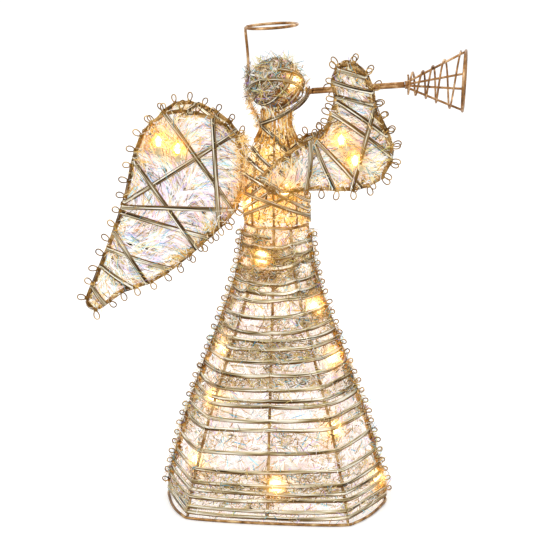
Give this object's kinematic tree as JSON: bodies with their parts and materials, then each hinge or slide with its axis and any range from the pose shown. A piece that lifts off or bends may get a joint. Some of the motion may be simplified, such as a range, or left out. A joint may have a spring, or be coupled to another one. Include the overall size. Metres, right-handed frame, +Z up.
{
  "type": "light-up christmas angel",
  "caption": "Standing wire-frame angel blowing a trumpet, wound with flat bands over film tinsel, with warm white mini lights and a wire ring to stand on.",
  "frame": {"origin": "on the table, under the middle of the box round the whole angel", "axes": "+Z up, +X the way the angel faces, -Y its right-hand side"},
  "size_m": [0.3102, 0.1308, 0.4029],
  "materials": {
    "wire": "gold-bronze lacquered wire, satin",
    "band": "champagne gold flat band, ridged lengthwise",
    "loops": "fine gold trim wire",
    "tinsel": "clear iridescent film tinsel",
    "lead": "champagne insulated lead and sockets",
    "bulb": "clear warm white mini bulb, lit"
  },
  "bodies": {
    "root": {"base_ring": "wire", "waist_ring": "wire", "skirt_rib_1": "wire", "skirt_rib_2": "wire", "skirt_rib_3": "wire", "skirt_rib_4": "wire", "skirt_rib_5": "wire", "skirt_rib_6": "wire", "skirt_rib_7": "wire", "skirt_rib_8": "wire", "skirt_wrap": "band", "skirt_garland": "tinsel", "skirt_lining": "tinsel", "front_edge_loops": "loops", "back_edge_loops": "loops", "bodice_frame": "wire", "bodice_wrap_under": "band", "bodice_wrap_over": "band", "bodice_lining": "tinsel", "neck_wire": "wire", "head_frame": "wire", "head_wrap_under": "band", "head_wrap_over": "band", "head_lining": "tinsel", "halo": "wire", "right_wing_frame": "wire", "right_wing_fill": "tinsel", "right_wing_wrap": "band", "right_wing_loops": "loops", "left_wing_frame": "wire", "left_wing_fill": "tinsel", "left_wing_wrap": "band", "left_wing_loops": "loops", "right_arm_frame": "wire", "right_arm_fill": "tinsel", "right_arm_wrap": "band", "left_arm_frame": "wire", "left_arm_fill": "tinsel", "left_arm_wrap": "band", "trumpet_mouthpiece": "wire", "trumpet_tube": "wire", "trumpet_bell_frame": "wire", "trumpet_bell_spiral": "wire", "bulb_1": "bulb", "bulb_2": "bulb", "bulb_3": "bulb", "bulb_4": "bulb", "bulb_5": "bulb", "bulb_6": "bulb", "bulb_7": "bulb", "bulb_8": "bulb", "bulb_9": "bulb", "bulb_10": "bulb", "bulb_11": "bulb", "bulb_12": "bulb", "bulb_13": "bulb", "bulb_14": "bulb", "bulb_15": "bulb", "bulb_16": "bulb", "light_string": "lead"}
  },
  "joints": []
}
